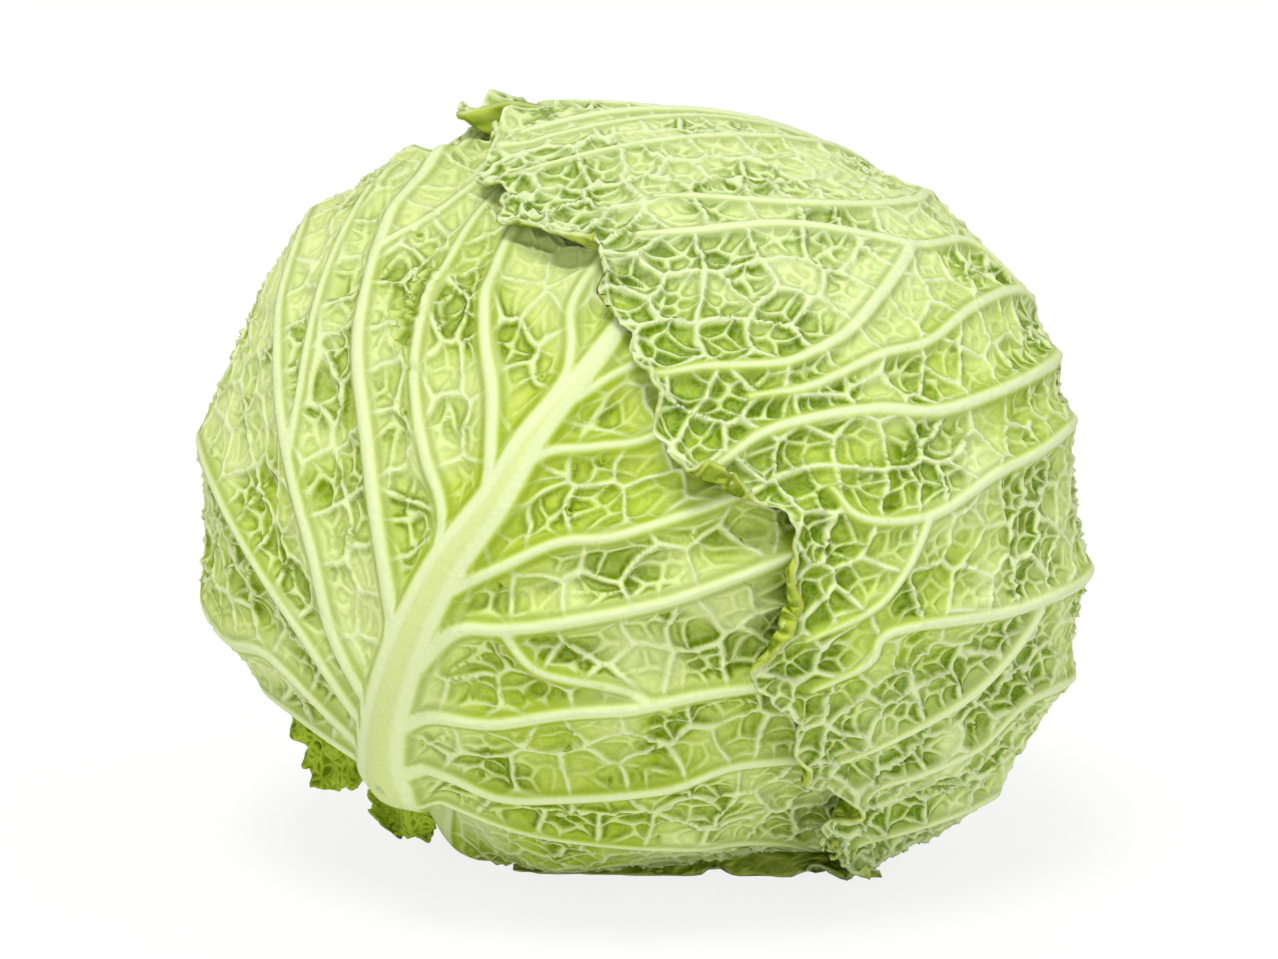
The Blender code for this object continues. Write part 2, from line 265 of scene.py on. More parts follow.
def layer_depth(rank, directions):
    """How far a leaf is pressed in by those over it, and tucked deeper well under them."""
    depth = np.zeros(directions.shape[:-1])
    covered = np.full(depth.shape, -90.0)
    for _, centre, margin in OUTER_LEAVES[:rank]:
        angle, reach = unwrap(leaf_axes(centre), directions)
        inside = margin_reach(margin, angle) - reach
        depth = depth + LAYER_PITCH * smooth_step(-SINK_RUN, -SINK_LEAD, inside)
        covered = np.maximum(covered, inside)
    return depth + TUCK * smooth_step(*TUCK_RUN, covered), covered


def place(directions, depth):
    """Points of the head at a depth under its surface, flattened where it rests."""
    points = HEAD_CENTRE + (head_radius(directions) - depth)[..., None] * directions
    points[..., 2] = np.maximum(points[..., 2], depth)
    return points


def lay(rank, directions):
    """Points of an outer leaf's layer."""
    return place(directions, layer_depth(rank, directions)[0])


def waves(positions, length, seed, count=9):
    """Soft noise from about -1 to 1: the sum of sines along random directions."""
    rng = np.random.default_rng(seed)
    total = np.zeros(positions.shape[:-1])
    for direction in unit(rng.normal(size=(count, 3))):
        stretch = rng.uniform(0.7, 1.4)
        total += np.sin(positions @ direction * (2.0 * math.pi * stretch / length) + rng.uniform(0.0, 6.3))
    return total * math.sqrt(2.0 / count) * 0.7


def smooth_curve(points, steps=7):
    """A Catmull-Rom curve through the points."""
    knots = np.array(points, dtype=float)
    knots = np.vstack([2 * knots[0] - knots[1], knots, 2 * knots[-1] - knots[-2]])
    t = np.linspace(0.0, 1.0, steps, endpoint=False)[:, None]
    spans = []
    for before, start, end, after in zip(knots, knots[1:], knots[2:], knots[3:]):
        bend = 2 * before - 5 * start + 4 * end - after
        twist = 3 * start - before - 3 * end + after
        spans.append(0.5 * (2 * start + (end - before) * t + bend * t**2 + twist * t**3))
    return np.vstack(spans + [knots[-2:-1]])


def vein_runs(rank, veins):
    """Veins, as rows of x, y, half width and height, cut into short straight runs."""
    axes = leaf_axes(OUTER_LEAVES[rank][1])
    runs = []
    for vein in veins:
        flat = smooth_curve(vein)
        line = lay(rank, wrap(axes, flat[:, 0], flat[:, 1]))
        size = MM * flat[:, 2:4]
        runs.append(np.hstack([line[:-1], line[1:], size[:-1], size[1:]]))
    return np.vstack(runs)


VEIN_TIP = 0.35


def tapered(veins):
    """Veins with a half width and a height at every point: an even taper, and a thin low tip."""
    for (wide, narrow, high, low), points in veins:
        count = len(points)
        fading = np.where(np.arange(count) == count - 1, VEIN_TIP, 1.0)
        yield np.column_stack([
            points, np.linspace(wide, narrow, count) * fading, np.linspace(high, low, count) * fading])


VEIN_FOOT = 0.0026


def vein_fields(points, runs):
    """For each point: gap to the nearest vein's side, ridge height, flow, way to its crest, width.

    A ridge is a bell across its half width, on a broad low foot.
    """
    start, end = runs[:, 0:3], runs[:, 3:6]
    run = end - start
    offset = points[:, None] - start
    t = np.clip((offset * run).sum(-1) / (run * run).sum(-1), 0.0, 1.0)
    to_crest = start + t[..., None] * run - points[:, None]
    away = np.linalg.norm(to_crest, axis=-1)
    width = runs[:, 6] + t * (runs[:, 8] - runs[:, 6])
    height = runs[:, 7] + t * (runs[:, 9] - runs[:, 7])
    gap = away - width
    foot = hump(np.maximum(gap, 0.0), VEIN_FOOT)
    ridge = (height * (0.62 * np.exp(-((away / width) ** 2) * 0.8) + 0.38 * foot)).max(1)
    nearest = gap.argmin(1)
    rows = np.arange(len(points))
    weight = np.exp(-away / 0.006)
    flow = unit((weight[..., None] * unit(run)).sum(1))
    return gap[rows, nearest], ridge, flow, to_crest[rows, nearest], width[rows, nearest]


def cell_fields(points, flow, seeds, stretch, parents=None, home=None):
    """Cells round seeds, longer along the flow: gap to the nearest border, way to it, owner."""
    squeeze = 1.0 - 1.0 / stretch**2
    offset = seeds - points[:, None]
    along = (offset * flow[:, None]).sum(-1)
    reach = (offset**2).sum(-1) - squeeze * along**2
    if home is not None:
        reach = np.where(parents == home[:, None], reach, 1.0)
    rows = np.arange(len(points))
    owner = reach.argmin(1)
    between = seeds - seeds[owner][:, None]
    between_along = (between * flow[:, None]).sum(-1)
    pull = between - squeeze * between_along[..., None] * flow[:, None]
    size = np.linalg.norm(pull, axis=-1)
    gap = (reach - reach[rows, owner][:, None]) / (2.0 * np.maximum(size, 1e-9))
    gap[size < 1e-9] = 1.0
    nearest = gap.argmin(1)
    return gap[rows, nearest], unit(pull[rows, nearest]), owner


def scatter(rank, spacing, count, seed, first=()):
    """Seeds strewn over a blade, none nearer to another than the spacing."""
    _, centre, margin = OUTER_LEAVES[rank]
    axes = leaf_axes(centre)
    rng = np.random.default_rng(seed)
    directions = unit(rng.normal(size=(count, 3)))
    angle, reach = unwrap(axes, directions)
    directions = directions[reach < margin_reach(margin, angle) + 3.0]
    candidates = np.vstack([np.array(first).reshape(-1, 3), lay(rank, directions)])
    kept = np.empty_like(candidates)
    number = 0
    for candidate in candidates:
        offset = kept[:number] - candidate
        if number == 0 or (offset * offset).sum(1).min() > spacing * spacing:
            kept[number] = candidate
            number += 1
    return kept[:number]


def beside_veins(rank, veins, pitch, aside, seed):
    """Pairs of seeds on both sides of each vein, so that a border runs along it."""
    axes = leaf_axes(OUTER_LEAVES[rank][1])
    rng = np.random.default_rng(seed)
    seeds = []
    for vein in veins:
        flat = smooth_curve(vein, 12)
        line = lay(rank, wrap(axes, flat[:, 0], flat[:, 1]))
        lengths = np.linalg.norm(np.diff(line, axis=0), axis=1)
        along = np.concatenate([[0.0], np.cumsum(lengths)])
        stops = np.arange(0.5 * pitch, along[-1], pitch)
        for side in (-1.0, 1.0):
            at = stops + rng.uniform(-0.3, 0.3, len(stops)) * pitch
            middle = np.stack([np.interp(at, along, line[:, k]) for k in range(3)], axis=1)
            ahead = np.stack([np.interp(at + 0.001, along, line[:, k]) for k in range(3)], axis=1)
            across = unit(np.cross(unit(middle - HEAD_CENTRE), ahead - middle))
            seeds.append(middle + across * side * aside)
    return np.vstack(seeds)


def tiles(shape, size=22):
    """Square patches of a grid, so that each point is only compared with what lies near it."""
    for row in range(0, shape[0], size):
        for column in range(0, shape[1], size):
            yield np.s_[row:row + size, column:column + size]


# How far the cells' borders wander, and how far past a patch its veins, cells and pits are looked for.
BEND = 0.0007
VEIN_ROOM = 0.042
CELL_ROOM = 0.028
PIT_ROOM = 0.016


def fields(points, leaf):
    """Vein and cell fields of every grid point, patch by patch; the cells' borders are bent."""
    shape = points.shape[:2]
    bend = BEND * np.stack([
        waves(points, 0.014, 300 + k) + 0.3 * waves(points, 0.007, 310 + k) for k in range(3)], axis=-1)
    found = {name: np.zeros(shape) for name in ("gap", "ridge", "width", "net", "mesh")}
    found.update({name: np.zeros(shape + (3,)) for name in ("crest", "net_way", "mesh_way")})
    found.update({name: np.zeros(shape, dtype=int) for name in ("cell", "pit")})
    for patch in tiles(shape):
        block = points[patch].reshape(-1, 3)
        middle = block.mean(0)
        radius = np.linalg.norm(block - middle, axis=1).max()

        def near(positions, room):
            return np.flatnonzero(np.linalg.norm(positions - middle, axis=1) < radius + room)

        runs = leaf["runs"][near(0.5 * (leaf["runs"][:, 0:3] + leaf["runs"][:, 3:6]), VEIN_ROOM)]
        gap, ridge, flow, crest, width = vein_fields(block, runs)
        block = block + bend[patch].reshape(-1, 3) * smooth_step(0.001, 0.006, gap)[:, None]
        cells = near(leaf["cells"], CELL_ROOM)
        net, net_way, owner = cell_fields(block, flow, leaf["cells"][cells], leaf["stretch"][0])
        home = cells[owner]
        pits = near(leaf["pits"], PIT_ROOM)
        mesh, mesh_way, pit = cell_fields(
            block, flow, leaf["pits"][pits], leaf["stretch"][1], leaf["pit_home"][pits], home)
        values = {
            "gap": gap, "ridge": ridge, "width": width, "net": net, "mesh": np.minimum(mesh, 0.01),
            "crest": crest, "net_way": net_way, "mesh_way": mesh_way, "cell": home, "pit": pits[pit],
        }
        for name, value in values.items():
            found[name][patch] = value.reshape(found[name][patch].shape)
    return found


def crowd(t, amount):
    """Grid stops from -1 to 1, drawn together on the near side and apart on the far one."""
    return t - amount * (1.0 - t * t)


def plain_edge(name, angle):
    """How plain and smooth a leaf's edge is there, from 0 to 1."""
    if name not in PLAIN_EDGES:
        return np.zeros_like(angle)
    first, last = PLAIN_EDGES[name]
    ease = 6.0
    return smooth_step(first - ease, first, angle) * (1.0 - smooth_step(last, last + ease, angle))


def margin_wave(angle, seed):
    """The scalloped edge, in degrees of reach: round lobes of three sizes with notches between."""
    rng = np.random.default_rng(seed)
    theta = np.radians(angle)
    total = np.zeros_like(theta)
    for lobes, size in ((31, 1.3), (67, 0.8), (127, 0.35)):
        swing = rng.uniform(0.0, 6.3) + 1.2 * np.sin(3 * theta + rng.uniform(0.0, 6.3))
        total += size * (np.abs(np.sin(0.5 * lobes * theta + swing)) - 0.64)
    return total


def blade_grid(rank, rows, columns, crowding, seed):
    """Directions over the head of a grid that fills the blade, and each point's place on it."""
    name, centre, margin = OUTER_LEAVES[rank]
    axes = leaf_axes(centre)
    u, v = np.meshgrid(crowd(np.linspace(-1, 1, columns), crowding[0]),
                       crowd(np.linspace(-1, 1, rows), crowding[1]))
    x, y = disc(u, v)
    angle = np.degrees(np.arctan2(y, x)) % 360.0
    scallops = margin_wave(angle, seed) * (1.0 - 0.85 * plain_edge(name, angle))
    limit = margin_reach(margin, angle) + scallops
    share = np.hypot(x, y)
    directions = wrap(axes, x * limit, y * limit)
    return directions, angle, (1.0 - share) * limit * DEGREE, axes


def grid_normals(points):
    """Outward unit normals of a grid of points."""
    down, across = np.gradient(points, axis=0), np.gradient(points, axis=1)
    normals = unit(np.cross(across, down))
    outward = (normals * (points - HEAD_CENTRE)).sum(-1).mean()
    return normals if outward > 0.0 else -normals


def sound(points, share):
    """1 where a grid point's four squares all keep a fair share of their even size, else 0."""
    across, down = np.diff(points, axis=1), np.diff(points, axis=0)
    outward = unit(points - HEAD_CENTRE)[:-1, :-1]
    corners = [np.cross(across[i:i + len(across) - 1], down[:, j:j + down.shape[1] - 1])
               for i in (0, 1) for j in (0, 1)]
    areas = np.stack([(corner * outward).sum(-1) for corner in corners])
    areas = areas * np.sign(areas.mean())
    fair = areas.min(0) > share * areas.mean(0)
    good = np.ones(points.shape[:2])
    for rows in (np.s_[:-1], np.s_[1:]):
        for columns in (np.s_[:-1], np.s_[1:]):
            good[rows, columns] = np.minimum(good[rows, columns], fair)
    return good


def settle(points, where):
    """Evens out the few places where neighbouring points have crossed each other."""
    for _ in range(4):
        bad = (sound(points, 0.04) < 0.5) & where
        mean = points.copy()
        above_below = points[:-2, 1:-1] + points[2:, 1:-1]
        mean[1:-1, 1:-1] = 0.25 * (above_below + points[1:-1, :-2] + points[1:-1, 2:])
        points = np.where(bad[..., None], mean, points)
    return points


def roll_back(points, normals, angle, edge, curls):
    """Edge curls: the last stretch of the blade is wound outwards on a small radius."""
    toward = unit(np.gradient(edge, axis=0)[..., None] * np.gradient(points, axis=0)
                  + np.gradient(edge, axis=1)[..., None] * np.gradient(points, axis=1))
    toward = -unit(toward - (toward * normals).sum(-1, keepdims=True) * normals)
    for middle, spread, length, radius in curls:
        off = (angle - middle + 180.0) % 360.0 - 180.0
        uneven = 1.0 + 0.07 * waves(points, 0.007, 400 + int(middle))
        rolled = np.maximum(length * MM * uneven * np.exp(-((off / spread) ** 4)) - edge, 0.0)
        turn = (rolled / (radius * MM))[..., None]
        shift = radius * MM * np.sin(turn) - rolled[..., None]
        points = points + shift * toward + radius * MM * (1.0 - np.cos(turn)) * normals
    return points


def stand_up(points, normals, axes, directions, flaps):
    """Flaps: what lies left of a line is bent up round it and goes on straight from there."""
    angle, reach = unwrap(axes, directions)
    at = np.stack([reach * np.cos(np.radians(angle)), reach * np.sin(np.radians(angle))], axis=-1)
    for start, end, radius, bend, last in flaps:
        start, end = np.array(start, dtype=float), np.array(end, dtype=float)
        length = np.linalg.norm(end - start)
        along = (end - start) / length
        left = np.array([-along[1], along[0]])
        share = (at - start) @ along / length
        beyond = np.maximum((at - start) @ left * DEGREE, 0.0)
        beyond = beyond * smooth_step(-0.05, 0.55, share) * (1.0 - smooth_step(last - 1.5, last + 1.5, angle))
        beyond = np.where(angle > 45.0, beyond, 0.0)
        ahead = wrap(axes, at[..., 0] + 0.1 * left[0], at[..., 1] + 0.1 * left[1]) - directions
        ahead = unit(ahead - (ahead * normals).sum(-1, keepdims=True) * normals)
        turn = np.minimum(beyond / (radius * MM), math.radians(bend))
        rest = beyond - turn * radius * MM
        forward = radius * MM * np.sin(turn) + rest * np.cos(turn) - beyond
        upward = radius * MM * (1.0 - np.cos(turn)) + rest * np.sin(turn)
        points = points + forward[..., None] * ahead + upward[..., None] * normals
    return points


def make_mesh(name, points, triangles, attributes):
    """A smooth shaded mesh object with one number per point for each attribute."""
    mesh = bpy.data.meshes.new(name)
    mesh.vertices.add(len(points))
    mesh.vertices.foreach_set("co", points.astype(np.float32).ravel())
    mesh.loops.add(triangles.size)
    mesh.loops.foreach_set("vertex_index", triangles.astype(np.int32).ravel())
    mesh.polygons.add(len(triangles))
    mesh.polygons.foreach_set("loop_start", np.arange(0, triangles.size, 3, dtype=np.int32))
    mesh.polygons.foreach_set("loop_total", np.full(len(triangles), 3, dtype=np.int32))
    mesh.update(calc_edges=True)
    mesh.validate()
    mesh.shade_smooth()
    for key, values in attributes.items():
        layer = mesh.attributes.new(key, "FLOAT", "POINT")
        layer.data.foreach_set("value", values.astype(np.float32).ravel())
    obj = bpy.data.objects.new(name, mesh)
    bpy.context.scene.collection.objects.link(obj)
    return obj


def grid_triangles(numbers, crease):
    """Two triangles a square, split along the diagonal that lies nearer to a crease."""
    a, b = numbers[:-1, :-1], numbers[:-1, 1:]
    c, d = numbers[1:, 1:], numbers[1:, :-1]
    along = crease[:-1, :-1] + crease[1:, 1:] <= crease[:-1, 1:] + crease[1:, :-1]
    first = np.where(along[..., None], np.stack([a, b, c], -1), np.stack([a, b, d], -1))
    second = np.where(along[..., None], np.stack([a, c, d], -1), np.stack([b, c, d], -1))
    return np.concatenate([first.reshape(-1, 3), second.reshape(-1, 3)])


def ring(numbers):
    """The border of a grid, once round."""
    return np.concatenate([numbers[0, :-1], numbers[:-1, -1], numbers[-1, :0:-1], numbers[:0:-1, 0]])


def close_shell(outer, inner, crease):
    """Triangles of a fine outer grid, an inner grid half as dense, and the rim between."""
    top = np.arange(outer[0] * outer[1]).reshape(outer)
    under = top.size + np.arange(inner[0] * inner[1]).reshape(inner)
    fine, coarse = ring(top), ring(under)
    a, b, c = fine[0::2], fine[1::2], np.roll(fine[0::2], -1)
    d, e = coarse, np.roll(coarse, -1)
    rim = np.concatenate([np.stack([b, a, d], -1), np.stack([c, b, e], -1), np.stack([e, b, d], -1)])
    under_crease = np.zeros(inner)
    return np.concatenate([
        grid_triangles(top, crease), grid_triangles(under, under_crease)[:, ::-1], rim])


def face_outwards(points, triangles):
    """The triangles turned so that the shell's volume is positive."""
    a, b, c = (points[triangles[:, k]] for k in range(3))
    volume = (a * np.cross(b, c)).sum()
    return triangles if volume > 0.0 else triangles[:, ::-1]


# How far off, in mm, a point counts as being where there is no net line near it.
FAR_GAP = 9.0

# Relief, in metres. Points near a vein are drawn onto its crest if its half width is under this.
NARROW_VEIN = 0.0022
# Spread of the lines of the two nets, and of the hem along the edge.
NET_LINE = 0.0007
MESH_LINE = 0.0005
HEM_WIDTH = 0.0008
# How soon a pleat deepens beside a vein, and how soon lift and frill die away from the edge.
PLEAT_RUN = 0.006
LIFT_RUN = 0.009
FRILL_RUN = 0.0045
# From where to where the net gains strength away from the midrib, and loses its extra strength
# away from the edge.
RIB_CALM = (0.003, 0.026)
FRINGE_RUN = (0.005, 0.026)
# The lip of a tear: its height and its width.
LIP_HEIGHT = 0.0008
LIP_WIDTH = 0.0009
# The blade's thickness at the edge, and what it gains further in besides the hollows' depth.
EDGE_THICKNESS = 0.0009
BLADE_THICKNESS = 0.0012


def shell_mesh(name, outer, inner, crease, values):
    """A closed shell as a mesh, whose inner grid takes every second value of the outer one."""
    points = np.concatenate([outer.reshape(-1, 3), inner.reshape(-1, 3)])
    triangles = close_shell(outer.shape[:2], inner.shape[:2], crease)
    both = {key: np.concatenate([value.ravel(), value[::2, ::2].ravel()]) for key, value in values.items()}
    both["inside"] = (np.arange(len(points)) >= outer[..., 0].size).astype(float)
    return make_mesh(name, points, face_outwards(points, triangles), both)


def onto_ridges(flat, found, edge):
    """Moves that carry points near a thin crest or a border onto it, and where crests are thin.

    A move is at most half a grid step, dies away at the edge, and is undone where squares fold.
    """
    step = 0.5 * np.minimum(np.linalg.norm(np.gradient(flat, axis=0), axis=-1),
                            np.linalg.norm(np.gradient(flat, axis=1), axis=-1))
    narrow = (np.linalg.norm(found["crest"], axis=-1) < step) & (found["width"] < NARROW_VEIN)
    on_net = (found["net"] < step) & ~narrow
    on_mesh = (found["mesh"] < step) & ~narrow & ~on_net
    shift = np.where(narrow[..., None], found["crest"], 0.0)
    shift = np.where(on_net[..., None], found["net_way"] * found["net"][..., None], shift)
    shift = np.where(on_mesh[..., None], found["mesh_way"] * found["mesh"][..., None], shift)
    shift = shift * smooth_step(0.0, 0.003, edge)[..., None]
    for _ in range(6):
        shift = shift * sound(flat + shift, 0.35)[..., None]
    return shift, narrow


def tear(rank, axes, flat, tears, seed):
    """Slits: how torn each point is, and how far it sinks in the slit or stands up on its lip."""
    torn = np.zeros(flat.shape[:2])
    lift = np.zeros(flat.shape[:2])
    for ends, half_width, depth in tears:
        slit = lay(rank, wrap(axes, *np.array(ends, dtype=float).T))
        along = slit[1] - slit[0]
        t = np.clip((flat - slit[0]) @ along / (along @ along), 0.0, 1.0)
        off = np.linalg.norm(flat - slit[0] - t[..., None] * along, axis=-1)
        ragged = 1.0 + 0.5 * waves(flat, 0.003, seed + 6)
        open_by = half_width * (0.25 + 0.75 * np.sin(math.pi * t)) * ragged
        torn = np.maximum(torn, 1.0 - smooth_step(0.55, 1.0, off / open_by))
        lip = hump(off - 1.3 * open_by, LIP_WIDTH)
        lift = lift - depth * torn + LIP_HEIGHT * lip * (0.6 + waves(flat, 0.004, seed + 7))
    return torn, lift


def sheet_lift(axes, leaf, flat, directions, edge, gap, frilled, seed):
    """How far the bare sheet stands off the head.

    It lifts and frills near its edge, is dented in spots, and sinks in pleats between the veins.
    """
    soft = waves(flat, 0.035, seed + 1)
    pleat = leaf["pleat"] * (1.0 - hump(gap, PLEAT_RUN)) * (1.0 + 0.35 * soft)
    pleat = pleat * (0.25 + 0.75 * smooth_step(0.0, 0.014, edge))
    lift = leaf["lift"] * np.exp(-edge / LIFT_RUN)
    for x, y, spread, depth in leaf["dents"]:
        lift = lift - depth * round_spot(directions, wrap(axes, x, y), spread)
    ruffle = waves(flat, 0.016, seed + 3) + 0.5 * waves(flat, 0.008, seed + 4)
    return lift + np.exp(-edge / FRILL_RUN) * leaf["frill"] * (0.7 + ruffle) * frilled - pleat


def net_tone(axes, leaf, flat, directions, edge, cell_draw, seed):
    """How strongly netted the skin is, 0 to 1: in patches, less in calm spots, more at the edge."""
    patches = 0.6 * waves(flat, 0.036, seed + 5) + 0.5 * waves(flat, 0.018, seed + 8)
    netted = (0.30 + 0.70 * smooth_step(-0.7, 0.7, patches)) * (0.72 + 0.28 * cell_draw)
    for x, y, spread, amount in leaf["calm"]:
        netted = netted * (1.0 - amount * round_spot(directions, wrap(axes, x, y), spread))
    return netted + leaf["fringe"] * (1.0 - netted) * (1.0 - smooth_step(*FRINGE_RUN, edge))


def build_leaf(rank, rows, columns, crowding, leaf, seed):
    """One outer leaf: the bare sheet, its curls and flaps, then ridges less hollows, as a shell."""
    name = OUTER_LEAVES[rank][0]
    directions, angle, edge, axes = blade_grid(rank, rows, columns, crowding, seed)
    flat = lay(rank, directions)
    shift, narrow = onto_ridges(flat, fields(flat, leaf), edge)
    directions = unit(flat + shift - HEAD_CENTRE)
    flat = lay(rank, directions)
    found = fields(flat, leaf)
    seen = 1.0 - smooth_step(*HIDE_RUN, layer_depth(rank, directions)[1])
    frilled = 1.0 - plain_edge(name, angle)
    gap = np.maximum(found["gap"], 0.0)

    torn, slit_lift = tear(rank, axes, flat, leaf["tears"], seed)
    lift = sheet_lift(axes, leaf, flat, directions, edge, gap, frilled, seed) + slit_lift
    base = flat + (lift * seen)[..., None] * directions
    base = roll_back(base, grid_normals(base), angle, edge, leaf["curls"])
    base = stand_up(base, grid_normals(base), axes, directions, leaf["flaps"])
    normals = grid_normals(base)

    strength = smooth_step(*leaf["smooth_band"], gap)
    strength = strength * (0.40 + 0.60 * smooth_step(*RIB_CALM, leaf["rib_away"](flat)))
    rng = np.random.default_rng(seed + 2)
    cell_draw = rng.uniform(size=len(leaf["cells"]))[found["cell"]]
    pit_draw = rng.uniform(size=len(leaf["pits"]))[found["pit"]]
    netted = net_tone(axes, leaf, flat, directions, edge, cell_draw, seed)
    bowl = smooth_step(0.0, leaf["bowl_wall"], found["net"]) * (0.25 + 0.75 * netted)
    dimple = smooth_step(0.0, leaf["dimple_wall"], found["mesh"]) * (0.3 + 0.7 * pit_draw)
    dimple = dimple * (0.1 + 0.9 * netted)
    lines = 0.35 * hump(found["net"], NET_LINE) + 0.2 * hump(found["mesh"], MESH_LINE)
    kept = 0.25 + 0.75 * smooth_step(0.0, 0.006, edge)
    kept = kept * (1.0 - (1.0 - frilled) * (1.0 - smooth_step(0.001, 0.006, edge)))
    sunk = strength * kept * (leaf["bowl"] * bowl + leaf["dimple"] * dimple) * (1.0 - torn)
    relief = found["ridge"] * (0.35 + 0.65 * smooth_step(0.0, 0.010, edge))
    relief = relief + strength * MM * leaf["line"] * lines * kept - sunk
    relief = relief + leaf["hem"] * hump(edge, HEM_WIDTH)
    outer = settle(base + (relief * seen)[..., None] * normals, edge > 0.012)
    outer[..., 2] = np.maximum(outer[..., 2], 0.0)

    deepest = leaf["bowl"] + leaf["dimple"]
    thick = EDGE_THICKNESS + (0.45 * deepest + BLADE_THICKNESS) * smooth_step(0.0, 0.008, edge)
    inner = (base - (thick * (0.5 + 0.5 * seen))[..., None] * normals)[::2, ::2]
    inner[..., 2] = np.maximum(inner[..., 2], 0.0005)
    crease = np.minimum(np.where(narrow, 0.0, gap), np.minimum(found["net"], found["mesh"] + 0.0002))
    # The hollow field, full in the slits, steers the painted shade of the hollows in the skin.
    return shell_mesh(name + "_blade", outer, inner, crease, {
        "vein_gap": found["gap"] / MM, "net_gap": found["net"] / MM + FAR_GAP * torn,
        "mesh_gap": found["mesh"] / MM + FAR_GAP * torn, "hollow": np.maximum(sunk / deepest, torn),
        "tone": netted, "strength": strength, "edge": edge / MM,
    })


def plug(tree, socket, value):
    """A socket's value, or a link when the value is another node's output."""
    if isinstance(value, bpy.types.NodeSocket):
        tree.links.new(value, socket)
    elif value is not None:
        socket.default_value = value


def maths(tree, operation, first, second=None):
    """The output of a Math node."""
    node = tree.nodes.new("ShaderNodeMath")
    node.operation = operation
    plug(tree, node.inputs[0], first)
    plug(tree, node.inputs[1], second)
    return node.outputs[0]


def fade(tree, value, low, high, start=0.0, end=1.0):
    """A smooth change from start to end while the value goes from low to high."""
    node = tree.nodes.new("ShaderNodeMapRange")
    node.interpolation_type = "SMOOTHSTEP"
    for socket, number in zip(node.inputs[:5], (value, low, high, start, end)):
        plug(tree, socket, number)
    return node.outputs["Result"]


def band(tree, value, start, peak, stop, height):
    """A soft hump over a stretch of a value: nothing at its ends, the height at its peak."""
    return maths(tree, "MULTIPLY", fade(tree, value, start, peak), fade(tree, value, peak, stop, height, 0.0))


def blend(tree, factor, first, second, kind="MIX"):
    """The output of a colour Mix node."""
    node = tree.nodes.new("ShaderNodeMix")
    node.data_type = "RGBA"
    node.blend_type = kind
    plug(tree, node.inputs["Factor"], factor)
    plug(tree, node.inputs["A"], first)
    plug(tree, node.inputs["B"], second)
    return node.outputs["Result"]


def soft_noise(tree, place, scale, detail=3.0):
    """Noise around one half, at so many features a metre."""
    node = tree.nodes.new("ShaderNodeTexNoise")
    plug(tree, node.inputs["Vector"], place)
    node.inputs["Scale"].default_value = scale
    node.inputs["Detail"].default_value = detail
    return node.outputs["Fac"]


def new_group(name, inputs, outputs):
    """An empty shader node group with named sockets."""
    group = bpy.data.node_groups.new(name, "ShaderNodeTree")
    for socket, kind in inputs:
        group.interface.new_socket(socket, in_out="INPUT", socket_type=kind)
    for socket, kind in outputs:
        group.interface.new_socket(socket, in_out="OUTPUT", socket_type=kind)
    return group, group.nodes.new("NodeGroupInput"), group.nodes.new("NodeGroupOutput")


FLOAT, COLOUR, VECTOR = "NodeSocketFloat", "NodeSocketColor", "NodeSocketVector"
FIELDS = ("vein_gap", "net_gap", "mesh_gap", "hollow", "tone", "strength", "edge", "inside")
# The third and fourth tints are painted shade, for the hollows and the ridges' sides.
TINTS = ("Blade", "Pale", "Hollow", "Deep", "Vein", "Rib", "Inner")


# Painted light: the leaf skin is painted paler with height (metres above the floor), standing in for strong
# light from above.
PAINTED_TOP_LIGHT_HEIGHTS = (0.100, 0.155)
PAINTED_TOP_LIGHT_AMOUNT = 0.80
VEINLET_STRENGTH = 0.13
LEAF_BUMP = 0.00035


